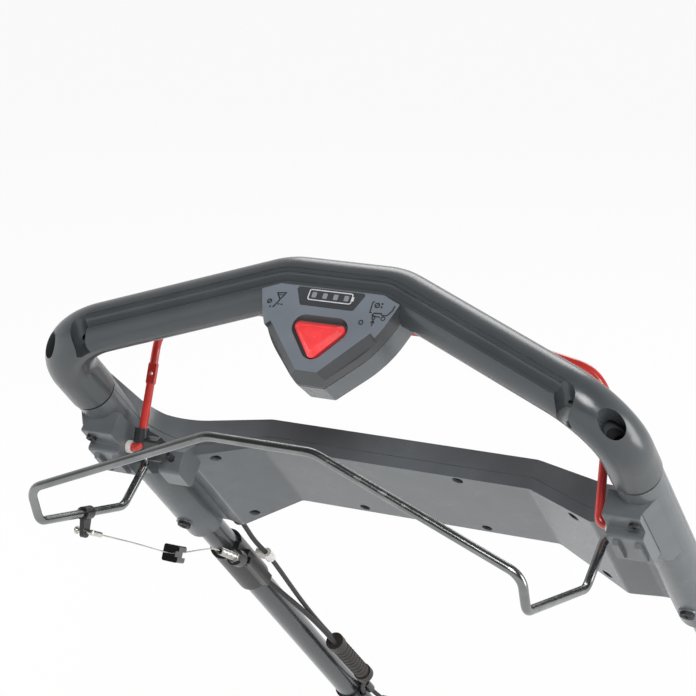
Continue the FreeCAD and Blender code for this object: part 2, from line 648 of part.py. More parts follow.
def make_bails():
    keep("drive_bail", bent_bar(whole(drive_route(0)), DRIVE_BENDS + DRIVE_BENDS[::-1], BAIL_ROD_D))
    lean = math.radians(PRESENCE_LEAN)

    def at(x, reach):
        return V(x, PIVOT_Y + reach * math.cos(lean), PRESENCE_PIVOT_Z + reach * math.sin(lean))

    half = [at(STUB_END_X, 0), at(PRESENCE_HALF, 0), at(*PRESENCE_SHOULDER), at(*PRESENCE_CREST)]
    rod = bent_bar(whole(half), PRESENCE_BENDS + PRESENCE_BENDS[::-1], PRESENCE_ROD_D)
    keep("presence_bail", with_flat(rod, half))
    bushes = [without(bar(at(side * (BLOCK_IN_X - BUSH_LONG), 0), at(side * BLOCK_IN_X, 0), BUSH_D),
                      bar(at(side * PRESENCE_HALF, 0), at(side * STUB_END_X, 0),
                          PRESENCE_ROD_D + 2 * PIVOT_FIT))
              for side in (-1, 1)]
    keep("pivot_bushes", Part.makeCompound(bushes))
    near, far = (at(-PRESENCE_HALF, reach) for reach in CAM_REACH)
    finger = plate_yz([(PIVOT_Y - 6, PRESENCE_PIVOT_Z - 14), (PIVOT_Y + 6, PRESENCE_PIVOT_Z - 14),
                       (PIVOT_Y + 12, PRESENCE_PIVOT_Z + 3), (PIVOT_Y + 4, PRESENCE_PIVOT_Z + 8)],
                      *CAM_X, [3.0, 3.0, 2.0, 2.0])
    keep("presence_cam", without(joined([bar(near, far, CAM_D), finger]), rod))


def with_flat(rod, half):
    """The presence bail's left arm, pressed flat and drilled at one place."""
    foot, shoulder = (V(-p.x, p.y, p.z) for p in half[1:3])
    along = unit(shoulder - foot)
    square = unit(along.cross(ACROSS))
    wide = unit(square.cross(along))
    middle = foot + along * FLAT_AT
    corner = middle - along * FLAT_LENGTH / 2 - wide * FLAT_WIDTH / 2 - square * FLAT_THICK / 2
    points = [corner, corner + along * FLAT_LENGTH, corner + along * FLAT_LENGTH + wide * FLAT_WIDTH,
              corner + wide * FLAT_WIDTH]
    flat = plate(points, [FLAT_ROUND] * 4, square * FLAT_THICK)
    slabs = []
    for way in (-1, 1):
        start = middle - along * (FLAT_LENGTH / 2 - 2) - wide * FLAT_WIDTH + square * way * FLAT_THICK / 2
        face = [start, start + along * (FLAT_LENGTH - 4),
                start + along * (FLAT_LENGTH - 4) + wide * 2 * FLAT_WIDTH, start + wide * 2 * FLAT_WIDTH]
        slabs.append(plate(face, [0] * 4, square * way * PRESENCE_ROD_D))
    hole = bar(middle - square * 20, middle + square * 20, FLAT_HOLE_D)
    return without(joined([without(rod, *slabs), flat]), hole)


def on_pod(shape):
    """Carry a piece from the pod's face frame to the leg frame."""
    moved = shape.copy()
    moved.rotate(V(0, 0, 0), ACROSS, POD_TILT)
    moved.translate(V(0, BAR_RISE - POD_BAR_Y, POD_FACE_Z))
    return moved


def pod_outline(inset):
    half = [(POD_CREST_X, POD_TOP - inset), (POD_SHOULDER[0] - inset, POD_SHOULDER[1] - inset),
            (POD_WAIST[0] - inset, POD_WAIST[1]), (POD_TIP[0] - 0.4 * inset, POD_TIP[1] + inset)]
    return both_sides(half)


def pod_wire(inset, z):
    """The pod's rounded outline at a depth under its face."""
    radii = [0, 0, POD_WAIST_ROUND, 3, 3, POD_WAIST_ROUND, 0, 0]
    return rounded_wire([V(x, y, z) for x, y in pod_outline(inset)], radii)


def pod_block(inset, z0, z1):
    return Part.Face(pod_wire(inset, z0)).extrude(V(0, 0, z1 - z0))


def triangle(margin):
    """The start button's outline, grown by a margin, or by one each for its sides, top and tip."""
    side, top, tip = margin if isinstance(margin, tuple) else (1.6 * margin, margin, 2.0 * margin)
    x, y = BUTTON_TOP
    return [(x + side, y + top), (-x - side, y + top), (0, BUTTON_TIP - tip)]


def triangle_wire(margin, radius, z):
    return rounded_wire([V(x, y, z) for x, y in triangle(margin)], [radius] * 3)


def bail_sweep():
    """The room round the drive bail's pivots that its crest sweeps as it swings over the pod."""
    crest, corner = seated_bail()
    pivot = V(0, PIVOT_Y, DRIVE_PIVOT_Z)
    edge_x = POD_SHOULDER[0] + BAIL_ROD_D
    edge = crest + (corner - crest) * ((edge_x - crest.x) / (corner.x - crest.x))
    half = [(p.x, math.hypot(p.y - pivot.y, p.z - pivot.z) - BAIL_ROD_D / 2 - SWEEP_CLEAR)
            for p in (crest, edge)]
    over = half[0][1] + GRIP_D
    outline = both_sides(half + [(edge_x, over)])
    face = Part.Face(Part.makePolygon([pivot + V(x, 0, r) for x, r in outline + outline[:1]]))
    return face.revolve(pivot, ACROSS, 360)


def make_pod():
    bar_room = hoop(GRIP_D + 2 * SEAT_GAP)
    body = pod_block(0, -POD_PARTING, 0)
    bevels = []
    along = V(*POD_BEVEL_RUN, 0)
    out = unit(V(along.y, -along.x, 0))
    tip = V(POD_TIP[0], POD_TIP[1], 0)
    over = V(0, 0, 1)
    for start, run, way, deep in ((tip - along * 0.3, along * 1.35, out, POD_BEVEL_DEEP),
                                  (V(-2 * tip.x, tip.y, 0), V(4 * tip.x, 0, 0), V(0, -1, 0), TIP_BEVEL_DEEP)):
        inner, outer = start - way * POD_BEVEL_IN, start + way * 2 * POD_BEVEL_IN
        drop = V(0, 0, -deep)
        bevels.append(plate([inner, start + drop, outer + drop, outer + over, inner + over], [0] * 5, run))
    bevels.append(mirrored(bevels[0]))
    window = plate_xy(both_sides([WINDOW_TOP, WINDOW_FOOT]), -WINDOW_THICK, 0, [2.0] * 4)
    room = plate_xy(both_sides([(x + 0.15, y + s)
                                for (x, y), s in ((WINDOW_TOP, 0.15), (WINDOW_FOOT, -0.15))]),
                    -WINDOW_THICK - 0.1, 1, [2.1] * 4)
    well = Part.makeLoft([triangle_wire(WELL_FOOT, BUTTON_ROUND + WELL_FOOT, -WELL_DEEP),
                          triangle_wire(WELL_MARGIN, BUTTON_ROUND + WELL_MARGIN[1], 0)], True, True)
    button_hole = plate_xy(triangle(BUTTON_GAP), -POD_PARTING, 1, [BUTTON_ROUND + BUTTON_GAP] * 3)
    hollow = pod_block(POD_WALL + 1, -POD_PARTING - 1, -7.0)
    guides, guide_holes = [], []
    for i in range(4):
        x = (i - 1.5) * GUIDE_PITCH
        low, high = -BOARD_DOWN + BOARD_THICK, -WINDOW_THICK - 0.2
        guides.append(box(x - GUIDE_WIDTH / 2, x + GUIDE_WIDTH / 2, GUIDE_Y - GUIDE_TALL / 2,
                          GUIDE_Y + GUIDE_TALL / 2, low, high))
        guide_holes.append(box(x - GUIDE_WIDTH / 2 - 0.2, x + GUIDE_WIDTH / 2 + 0.2,
                               GUIDE_Y - GUIDE_TALL / 2 - 0.2, GUIDE_Y + GUIDE_TALL / 2 + 0.2, low, 1))
    cover = without(body, *bevels, room, well, button_hole, hollow, *guide_holes)
    keep("pod_cover", without(on_pod(cover), bar_room, bail_sweep()))
    keep("display_window", on_pod(window))
    keep("light_guides", Part.makeCompound([without(on_pod(guide), bar_room) for guide in guides]))

    stem = plate_xy(triangle(0), BUTTON_PROUD - BUTTON_TALL, 0, [BUTTON_ROUND] * 3)
    face = Part.makeLoft([triangle_wire(0, BUTTON_ROUND, 0),
                          triangle_wire(-BUTTON_SLOPE_IN, BUTTON_ROUND / 2, BUTTON_PROUD)], True, True)
    dish = plate_xy(triangle(-BUTTON_SLOPE_IN - 2.2), BUTTON_PROUD - 0.6, BUTTON_PROUD + 1, [1.2] * 3)
    keep("start_button", on_pod(without(joined([stem, face]), dish)))

    rims = [pod_wire(inset, z) for inset, z in ((0, -POD_PARTING - POD_GAP), (POD_DRAFT, -POD_DEPTH))]
    tray = Part.makeLoft(rims, True, True)
    deep = pod_block(POD_WALL + POD_DRAFT, -POD_DEPTH + POD_WALL, 0)
    posts = [bar(V(x, y, -POD_DEPTH + 1), V(x, y, -BOARD_DOWN), 6.0)
             for x, y in ((-24, 44), (24, 44), (0, 10))]
    tray = joined([without(tray, deep)] + posts)
    keep("pod_tray", without(on_pod(tray), bar_room))
    board = pod_block(POD_WALL + POD_DRAFT + 1.5, -BOARD_DOWN, -BOARD_DOWN + BOARD_THICK)
    keep("control_board", without(on_pod(board), hoop(GRIP_D + 2)))
    base = box(-6.5, 6.5, 17.0, 30.0, -BOARD_DOWN + BOARD_THICK, -16.0)
    plunger = bar(V(0, 23.5, -16.0), V(0, 23.5, BUTTON_PROUD - BUTTON_TALL - BUTTON_TRAVEL - 0.3), 6.0)
    keep("start_switch", on_pod(joined([base, plunger])))


def wire_points():
    """The drive wire's route: eye, sag at the stop block, barrel mouth and the tail inside the barrel."""
    route = drive_route(0)
    knee, elbow = route[2], route[3]
    rod_point = knee + (elbow - knee) * TAB_AT
    along = unit(elbow - knee)
    drop = V(0, -along.z, along.y)
    if drop.y > 0:
        drop = drop * -1
    hole = rod_point + drop * (BAIL_ROD_D / 2 + TAB_DROP - 5)
    return V(-rod_point.x, rod_point.y, rod_point.z), along, drop, V(-hole.x, hole.y, hole.z)


def make_cable():
    rod_point, along, drop, hole = wire_points()
    half = TAB_WIDTH / 2
    ring = BAIL_ROD_D / 2 + TAB_THICK
    wrap = bar(rod_point - along * half, rod_point + along * half, 2 * ring)
    left, right = rod_point.x - TAB_THICK, rod_point.x + TAB_THICK
    edge = [rod_point - along * half + drop * 3, rod_point + along * half + drop * 3,
            hole + along * 4 + drop * 5, hole - along * 4 + drop * 5]
    blade = plate([V(left, p.y, p.z) for p in edge], [0, 0, 3.5, 3.5], V(right - left, 0, 0))
    core = bar(rod_point - along * 2 * half, rod_point + along * 2 * half, BAIL_ROD_D + 2 * SEAT_GAP)
    eye_hole = bar(hole - ACROSS * 20, hole + ACROSS * 20, EYE_D + 2 * PIVOT_FIT)
    keep("cable_tab", without(joined([wrap, blade]), core, eye_hole))

    inner = hole + ACROSS * 6.5
    outer = hole - ACROSS * 6.5
    straight = BARREL_MOUTH - inner
    stop = inner + straight * STOP_AT + drop * WIRE_SAG
    start = inner + unit(stop - inner) * FERRULE_LONG
    pin = joined([bar(outer, inner + ACROSS * 1.5, EYE_D),
                  bar(outer - ACROSS * 1.5, outer, EYE_D + 2.5)])
    keep("cable_eye", joined([pin, bar(inner, start, FERRULE_D)]))
    down = unit(BARREL_FOOT - BARREL_MOUTH)
    end = BARREL_MOUTH + down * WIRE_TAIL
    route = [start, stop, BARREL_MOUTH, end]
    wire = bent_bar(route, cord_bends(route), WIRE_D)
    direction = unit(BARREL_MOUTH - inner)
    keep("drive_wire", wire)
    keep("cable_stop_block", without(stop_block(stop, direction), wire))

    barrel = bar(BARREL_MOUTH, BARREL_FOOT, BARREL_D)
    keep("adjuster_barrel", without(barrel, bar(BARREL_MOUTH - down, BARREL_FOOT + down, BARREL_BORE)))
    nuts = []
    for reach in (29.0, 45.2):
        corner = BARREL_MOUTH + down * reach
        nuts.append(without(hexagon(corner, down, 11.0, 4.0),
                            bar(BARREL_MOUTH, BARREL_FOOT, BARREL_D + 2 * PIVOT_FIT)))
    keep("adjuster_nuts", Part.makeCompound(nuts))
    make_bracket(down)
    make_cords()


def stop_block(centre, direction):
    """A cube clamped on the wire, with a slot across it."""
    side = unit(direction.cross(AWAY))
    up = unit(side.cross(direction))
    half = STOP_SIZE / 2
    corner = centre - direction * half - side * half - up * half
    points = [corner, corner + side * STOP_SIZE, corner + side * STOP_SIZE + up * STOP_SIZE,
              corner + up * STOP_SIZE]
    block = plate(points, [2.0] * 4, direction * STOP_SIZE)
    groove = [centre - direction * (half + 1) + side * (half - 3) - up * 2.5]
    groove += [groove[0] + side * 6, groove[0] + side * 6 + up * 5, groove[0] + up * 5]
    return without(block, plate(groove, [0] * 4, direction * (STOP_SIZE + 2)))


def hexagon(centre, axis, across_flats, thick):
    side = unit(axis.cross(ACROSS))
    other = unit(axis.cross(side))
    radius = across_flats / math.sqrt(3)
    points = [centre + side * radius * math.cos(math.radians(60 * i))
              + other * radius * math.sin(math.radians(60 * i)) for i in range(6)]
    return plate(points, [0] * 6, axis * thick)


def tube_ring(z0, z1, wall):
    """A ring round the left tube."""
    outer = bar(V(-ARM_X, 0, z0), V(-ARM_X, 0, z1), TUBE_D + 2 * SEAT_GAP + 2 * wall)
    return without(outer, bar(V(-ARM_X, 0, z0 - 1), V(-ARM_X, 0, z1 + 1), TUBE_D + 2 * SEAT_GAP))


def make_bracket(down):
    eye_top, eye_low = BARREL_MOUTH + down * 33.4, BARREL_MOUTH + down * 44.8
    ring = tube_ring(-366.0, -296.0, 3.2)
    eye = bar(eye_top, eye_low, 16.0)
    arm = box(-ARM_X + 8, eye_top.x, -16.0, 2.0, eye_low.z - 4, eye_top.z)
    tail = box(-ARM_X + 8, -ARM_X + 22, -9.5, 1.5, -362.0, eye_low.z - 3)
    tube = bar(V(-ARM_X, 0, -400), V(-ARM_X, 0, -250), TUBE_D + 2 * SEAT_GAP)
    barrel = bar(BARREL_MOUTH - down * 30, BARREL_FOOT + down * 30, BARREL_D + 2 * PIVOT_FIT)
    nut_room = bar(BARREL_MOUTH + down * 44.8, BARREL_MOUTH + down * 56, 14.0)
    nut_room_top = bar(BARREL_MOUTH + down * 20, BARREL_MOUTH + down * 33.4, 14.0)
    sheath = bent_bar(SHEATH_ROUTE, cord_bends(SHEATH_ROUTE), SHEATH_D + 2 * CABLE_SEAT)
    bracket = joined([ring, eye, arm, tail])
    keep("cable_bracket", without(bracket, tube, barrel, nut_room, nut_room_top, sheath))


def make_cords():
    for name, route in (("sheath", SHEATH_ROUTE), ("harness", HARNESS_ROUTE)):
        print(name, "bend radii", [round(radius) for radius in cord_bends(route)])
    sheath = bent_bar(SHEATH_ROUTE, cord_bends(SHEATH_ROUTE), SHEATH_D)
    harness = bent_bar(HARNESS_ROUTE, cord_bends(HARNESS_ROUTE), HARNESS_D)
    keep("cable_sheath", sheath)
    keep("wire_harness", harness)
    x, y = HARNESS_ROUTE[0].x, HARNESS_ROUTE[0].y
    low, high = GROMMET_Z
    lip = bar(V(x, y, low), V(x, y, low + 3), GROMMET_D + 4)
    sleeve = bar(V(x, y, low), V(x, y, high), GROMMET_D)
    keep("harness_grommet", without(joined([lip, sleeve]), harness))

    along = unit(COUPLING_TO - COUPLING_FROM)
    rims = [bar(COUPLING_FROM, COUPLING_FROM + along * COUPLING_RIM, COUPLING_RIM_D),
            bar(COUPLING_TO - along * COUPLING_RIM, COUPLING_TO, COUPLING_RIM_D)]
    coupling = joined([bar(COUPLING_FROM, COUPLING_TO, COUPLING_D)] + rims)
    keep("harness_coupling", without(coupling, harness, sheath))

    low, high = CLIP_Z
    held = HARNESS_ROUTE[3]
    ring = bar(V(held.x, held.y, low), V(held.x, held.y, high), HARNESS_D + 2 * CLIP_WALL)
    foot_x = BARREL_FOOT.x + 8
    foot = box(foot_x, held.x, held.y - CLIP_WALL, held.y + CLIP_WALL, low, high)
    keep("harness_clip", without(joined([ring, foot]), harness))

    low, high = BAND_Z
    cables = ((SHEATH_AT, SHEATH_D + 2 * CABLE_SEAT), (HARNESS_AT, HARNESS_D + 2 * CABLE_SEAT))
    loops = [bar(V(*at, low), V(*at, high), d + 2 * BAND_WALL) for at, d in cables]
    rooms = [bar(V(*at, low - 1), V(*at, high + 1), d) for at, d in cables]
    tube = bar(V(-ARM_X, 0, low - 1), V(-ARM_X, 0, high + 1), TUBE_D + 2 * SEAT_GAP)
    keep("cable_band", without(joined([tube_ring(low, high, BAND_WALL)] + loops), tube, *rooms))

    end = HARNESS_ROUTE[-1]
    wide, thick, tall = PLUG_SIZE
    outline = [(end.x - wide / 2, end.y - thick / 2), (end.x + wide / 2, end.y - thick / 2),
               (end.x + wide / 2, end.y + thick / 2), (end.x - wide / 2, end.y + thick / 2)]
    keep("harness_plug", without(plate_xy(outline, end.z - tall, end.z, [2.0] * 4), harness))
    low = SHEATH_ROUTE[-1]
    ferrule = bar(low, low - UP_TUBE * 16, SHEATH_D + 0.4)
    core = bar(low - UP_TUBE * 16, low - UP_TUBE * 32, WIRE_D)
    nipple = bar(low - UP_TUBE * 34 - ACROSS * 3.5, low - UP_TUBE * 34 + ACROSS * 3.5, 5.0)
    keep("sheath_end", joined([ferrule, core, nipple]))


make_grip()
make_tubes()
make_beam()
make_pivot_caps()
make_bails()
make_pod()
make_cable()

os.makedirs("parts", exist_ok=True)
for name, shape in PARTS.items():
    placed = place(shape)
    print(name, len(placed.Solids), placed.isValid(), round(placed.Volume))
    placed.exportStep(os.path.join("parts", name + ".step"))
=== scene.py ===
import math

import bmesh
import bpy
from mathutils import Matrix, Vector


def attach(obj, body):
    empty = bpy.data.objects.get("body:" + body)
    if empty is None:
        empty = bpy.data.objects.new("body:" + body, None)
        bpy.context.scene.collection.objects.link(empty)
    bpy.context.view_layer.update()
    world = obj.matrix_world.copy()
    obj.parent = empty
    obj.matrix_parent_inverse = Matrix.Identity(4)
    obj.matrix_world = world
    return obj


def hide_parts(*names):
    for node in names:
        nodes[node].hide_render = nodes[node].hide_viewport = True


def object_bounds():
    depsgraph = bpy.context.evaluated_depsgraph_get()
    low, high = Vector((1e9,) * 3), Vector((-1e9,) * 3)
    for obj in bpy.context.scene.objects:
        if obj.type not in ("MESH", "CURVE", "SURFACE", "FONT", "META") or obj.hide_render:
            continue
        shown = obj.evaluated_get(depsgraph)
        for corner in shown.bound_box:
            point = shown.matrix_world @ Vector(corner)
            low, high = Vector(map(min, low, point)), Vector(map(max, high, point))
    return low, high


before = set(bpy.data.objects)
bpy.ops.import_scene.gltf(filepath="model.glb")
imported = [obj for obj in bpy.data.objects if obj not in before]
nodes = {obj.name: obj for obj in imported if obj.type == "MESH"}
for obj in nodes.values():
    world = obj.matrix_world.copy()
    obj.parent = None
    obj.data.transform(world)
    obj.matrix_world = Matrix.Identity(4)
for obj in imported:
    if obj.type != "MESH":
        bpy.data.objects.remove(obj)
cad_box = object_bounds()

# Millimetres in the handle's leg frame and on the pod's face, to metres in the row frame.
RAKE = 45.9
FOLD_BOLT_DOWN = 750.0
POD_TILT = 4.76
POD_FACE_UP = 91.2
LEG = (Matrix.Scale(0.001, 4) @ Matrix.Rotation(math.radians(RAKE), 4, "X")
       @ Matrix.Translation((0, 0, FOLD_BOLT_DOWN)))
POD = LEG @ Matrix.Translation((0, 0, POD_FACE_UP)) @ Matrix.Rotation(math.radians(POD_TILT), 4, "X")


# Node trees.

class Socket:
    """One output in a node tree. Arithmetic on it adds Math nodes."""

    def __init__(self, web, output):
        self.web, self.output = web, output

    def math(self, operation, *values):
        return self.web.node("ShaderNodeMath", {"operation": operation}, dict(enumerate(values)))

    def __add__(self, other):
        return self.math("ADD", self, other)

    def __radd__(self, other):
        return self.math("ADD", other, self)

    def __sub__(self, other):
        return self.math("SUBTRACT", self, other)

    def __rsub__(self, other):
        return self.math("SUBTRACT", other, self)

    def __mul__(self, other):
        return self.math("MULTIPLY", self, other)

    def __rmul__(self, other):
        return self.math("MULTIPLY", other, self)


class Web:
    """A node tree that is filled through one method."""

    def __init__(self, tree):
        self.tree = tree
        tree.nodes.clear()

    def node(self, kind, settings=None, sockets=None, out=0):
        made = self.tree.nodes.new(kind)
        for name, value in (settings or {}).items():
            setattr(made, name, value)
        for name, value in (sockets or {}).items():
            if isinstance(value, Socket):
                self.tree.links.new(value.output, made.inputs[name])
            else:
                made.inputs[name].default_value = value
        return Socket(self, made.outputs[out]) if made.outputs else None

    def seen_ray(self, *names):
        """1 for a ray of one of the named kinds."""
        rays = [self.node("ShaderNodeLightPath", out=name) for name in names]
        most = rays[0]
        for ray in rays[1:]:
            most = most.math("MAXIMUM", most, ray)
        return most

    def ramp(self, value, low, high, start=0.0, end=1.0):
        """A smooth climb from start to end as the value goes from low to high."""
        return self.node("ShaderNodeMapRange", {"interpolation_type": "SMOOTHSTEP"},
                         {"Value": value, "From Min": low, "From Max": high, "To Min": start, "To Max": end})


class Finish(Web):
    """A material."""

    def __init__(self, name):
        self.material = bpy.data.materials.new(name)
        self.material.use_nodes = True
        super().__init__(self.material.node_tree)

    def noise(self, scale, detail=3.0, stretch=None, roughness=0.5):
        place = self.node("ShaderNodeTexCoord", out="Object")
        if stretch:
            place = self.node("ShaderNodeMapping", None, {"Vector": place, "Scale": stretch})
        return self.node("ShaderNodeTexNoise", None, {"Vector": place, "Scale": scale, "Detail": detail,
                                                      "Roughness": roughness}, "Fac")

    def mix(self, factor, first, second):
        return self.node("ShaderNodeMix", {"data_type": "RGBA"}, {0: factor, 6: first, 7: second}, 2)

    def soft_edge(self, radius):
        return self.node("ShaderNodeBevel", {"samples": 4}, {"Radius": radius})

    def edge_highlight_mask(self, radius):
        """1 on the corners, 0 on open faces: the mask of a painted edge highlight."""
        rounded = self.soft_edge(radius)
        flat = self.node("ShaderNodeNewGeometry", out="Normal")
        same = self.node("ShaderNodeVectorMath", {"operation": "DOT_PRODUCT"}, {0: rounded, 1: flat}, "Value")
        return self.ramp(1 - same, 0.02, 0.25)

    def bump(self, height, distance, strength=1.0, normal=None):
        sockets = {"Height": height, "Distance": distance, "Strength": strength}
        if normal:
            sockets["Normal"] = normal
        return self.node("ShaderNodeBump", None, sockets)

    def surface(self, **named):
        words = {"base": "Base Color", "rough": "Roughness", "metal": "Metallic", "normal": "Normal",
                 "coat": "Coat Weight", "coat_rough": "Coat Roughness", "specular": "Specular IOR Level",
                 "under": "Subsurface Weight", "under_scale": "Subsurface Scale"}
        shader = self.node("ShaderNodeBsdfPrincipled", None,
                           {words[key]: value for key, value in named.items()})
        self.node("ShaderNodeOutputMaterial", None, {"Surface": shader})
        return self.material


# Finishes.

SOFT_EDGE = 0.0004    # radius to which sharp edges are rounded in the shading
GRAIN_DEPTH = 0.00004
EDGE_HIGHLIGHT = 0.22         # how far corners go to the paler tone of the painted edge highlight


def shade(colour, factor):
    return tuple(channel * factor for channel in colour[:3]) + (1.0,)


def moulded(name, colour, grain=0.00035, rough=0.25, lit_face_colour=None):
    """Moulded plastic: spark-eroded grain, a slow drift of tone, and corners painted a little paler as a
    painted edge highlight.

    With a second colour, the pod's flat face is painted paler than its sides: painted light, where light
    falls on the face."""
    finish = Finish(name)
    drift = finish.noise(28, 4)
    fine = finish.noise(1 / grain, 2, roughness=0.6)
    base = finish.mix(finish.ramp(drift, 0.3, 0.7), shade(colour, 0.94), shade(colour, 1.06))
    # The face above this level is painted paler: painted light where light falls on the pod's face.
    if lit_face_colour:
        out, level = POD.to_3x3() @ Vector((0, 0, 1000)), POD @ Vector((0, 0, -0.12))
        place = finish.node("ShaderNodeTexCoord", out="Object")
        height = finish.node("ShaderNodeVectorMath", {"operation": "DOT_PRODUCT"}, {0: place, 1: out},
                             "Value")
        lit_face_mask = finish.ramp(height - level.dot(out), -0.00005, 0.00005)
        lit_face_tone = finish.mix(finish.ramp(drift, 0.3, 0.7), shade(lit_face_colour, 0.95), shade(lit_face_colour, 1.05))
        base = finish.mix(lit_face_mask, base, lit_face_tone)
    base = finish.mix(finish.ramp(fine, 0.45, 0.75) * 0.35, base, shade(colour, 1.35))
    # Corners are painted paler at a random strength: a painted edge highlight.
    painted_edge_shine = finish.edge_highlight_mask(0.0008) * finish.ramp(drift, 0.25, 0.6) * EDGE_HIGHLIGHT
    base = finish.mix(painted_edge_shine, base, shade(colour, 2.1))
    roughness = rough + (drift - 0.5) * 0.08 + (fine - 0.5) * 0.10
    normal = finish.bump(fine, GRAIN_DEPTH, 0.5, finish.soft_edge(SOFT_EDGE))
    return finish.surface(base=base, rough=roughness, normal=normal, specular=0.5)


def painted(name, colour, rough=0.24, coat=0.5):
    """Baked paint on steel: a wet coat with faint orange peel and a few dull spots."""
    finish = Finish(name)
    drift = finish.noise(60, 4)
    peel = finish.noise(900, 2)
    specks = finish.ramp(finish.noise(240, 5), 0.66, 0.76)
    base = finish.mix(finish.ramp(drift, 0.3, 0.7), shade(colour, 0.92), shade(colour, 1.08))
    base = finish.mix(specks * 0.35, base, shade(colour, 0.5))
    normal = finish.bump(peel, 0.000015, 0.35, finish.soft_edge(SOFT_EDGE))
    return finish.surface(base=base, rough=rough + drift * 0.10 + specks * 0.12, normal=normal,
                          coat=coat, coat_rough=0.08)


def plated(name, colour, rough, spots=0.3):
    """Plated steel: bright, with drawn lines and a few dull patches."""
    finish = Finish(name)
    drift = finish.noise(45, 4)
    lines = finish.noise(300, 3, (0.05, 1.0, 1.0))
    dull = finish.ramp(finish.noise(130, 6), 0.56, 0.72)
    base = finish.mix(finish.ramp(drift, 0.3, 0.7), shade(colour, 0.85), shade(colour, 1.12))
    base = finish.mix(dull * spots, base, shade(colour, 0.45))
    normal = finish.bump(lines, 0.00001, 0.3, finish.soft_edge(0.0003))
    roughness = rough + (lines - 0.5) * 0.06 + dull * 0.18
    return finish.surface(base=base, metal=1.0, rough=roughness, normal=normal)


def rubbery(name, colour, rough=0.55):
    """Soft black sheath: matt, with a haze of dust."""
    finish = Finish(name)
    drift = finish.noise(70, 5)
    fine = finish.noise(1500, 2)
    base = finish.mix(finish.ramp(drift, 0.45, 0.8) * 0.5, colour, shade(colour, 2.2))
    normal = finish.bump(fine, 0.00003, 0.5)
    return finish.surface(base=base, rough=rough + (drift - 0.5) * 0.2, normal=normal)


def glossy(name, colour, rough=0.12):
    """Clear-faced plastic: smooth, with fine rub marks."""
    finish = Finish(name)
    rubs = finish.noise(420, 4, (0.2, 1.0, 1.0))
    drift = finish.noise(50, 3)
    base = finish.mix(finish.ramp(drift, 0.3, 0.7), shade(colour, 0.94), shade(colour, 1.06))
    normal = finish.bump(rubs, 0.00001, 0.4, finish.soft_edge(SOFT_EDGE))
    return finish.surface(base=base, rough=rough + rubs * 0.08, normal=normal, coat=0.4, coat_rough=0.05)


def lens(name, colour, rough=0.2):
    """Tinted plastic that light soaks into a little."""
    finish = Finish(name)
    drift = finish.noise(90, 3)
    base = finish.mix(finish.ramp(drift, 0.3, 0.7), shade(colour, 0.93), shade(colour, 1.07))
    normal = finish.bump(finish.noise(700, 2), 0.00002, 0.4, finish.soft_edge(0.0005))
    return finish.surface(base=base, rough=rough + drift * 0.1, normal=normal, under=0.15, under_scale=0.002,
                          coat=0.3, coat_rough=0.1)


def inked(name, colour):
    """Pad-printed ink: thin in places."""
    finish = Finish(name)
    thin = finish.ramp(finish.noise(800, 4), 0.35, 0.75)
    base = finish.mix(thin * 0.4, colour, shade(colour, 0.7))
    return finish.surface(base=base, rough=0.42 + thin * 0.15, normal=finish.bump(thin, 0.00001, 0.3))


grip_plastic = moulded("grip_plastic", (0.052, 0.058, 0.062, 1))
beam_plastic = moulded("beam_plastic", (0.096, 0.105, 0.112, 1))
# The pod face's paler second colour is painted light on its lit face.
pod_plastic = moulded("pod_plastic", (0.050, 0.054, 0.058, 1), 0.00028, 0.38, lit_face_colour=(0.165, 0.186, 0.216, 1))
dark_plastic = moulded("dark_plastic", (0.022, 0.023, 0.024, 1))
red_paint = painted("red_paint", (0.44, 0.022, 0.016, 1))
tube_paint = painted("tube_paint", (0.030, 0.034, 0.037, 1))
dark_plate = plated("dark_plate", (0.26, 0.27, 0.27, 1), 0.20, 0.2)
zinc = plated("zinc", (0.62, 0.61, 0.58, 1), 0.26)
black_steel = painted("black_steel", (0.012, 0.012, 0.013, 1), 0.35, 0.2)
black_screw = painted("black_screw", (0.006, 0.006, 0.007, 1), 0.5, 0.0)
black_gloss = glossy("black_gloss", (0.006, 0.006, 0.007, 1))
rubber = rubbery("rubber", (0.012, 0.012, 0.013, 1))
sleeve_rubber = rubbery("sleeve_rubber", (0.022, 0.017, 0.014, 1), 0.48)
window_plastic = glossy("window_plastic", (0.050, 0.054, 0.058, 1))
guide_plastic = lens("guide_plastic", (0.30, 0.31, 0.32, 1))
button_plastic = lens("button_plastic", (0.88, 0.060, 0.065, 1))
white_nylon = lens("white_nylon", (0.62, 0.61, 0.57, 1), 0.35)
laminate = moulded("laminate", (0.02, 0.10, 0.045, 1), 0.0006, 0.4)
dark_ink = inked("dark_ink", (0.016, 0.017, 0.019, 1))
pale_ink = inked("pale_ink", (0.62, 0.63, 0.64, 1))
grey_ink = inked("grey_ink", (0.24, 0.25, 0.26, 1))

CAD_FINISHES = {
    grip_plastic: ["grip_front_shell", "grip_rear_shell"],
    beam_plastic: ["crossbeam_upper_shell", "crossbeam_lower_shell", "right_pivot_cap", "left_pivot_cap",
                   "switch_housing", "pod_tray"],
    pod_plastic: ["pod_cover"],
    dark_plastic: ["tube_end_plugs", "presence_switch", "start_switch", "presence_cam", "harness_plug",
                   "harness_grommet", "cable_band"],
    black_gloss: ["cable_stop_block"],
    red_paint: ["presence_bail"],
    tube_paint: ["left_tube", "right_tube"],
    dark_plate: ["drive_bail"],
    zinc: ["cable_eye", "adjuster_barrel", "adjuster_nuts", "sheath_end"],
    black_steel: ["cable_bracket", "cable_tab"],
    black_screw: ["shell_screws", "leg_bolts", "cap_screws"],
    sleeve_rubber: ["harness_coupling"],
    window_plastic: ["display_window"],
    guide_plastic: ["light_guides"],
    button_plastic: ["start_button"],
    laminate: ["control_board"],
    white_nylon: ["pivot_bushes", "harness_clip"],
}
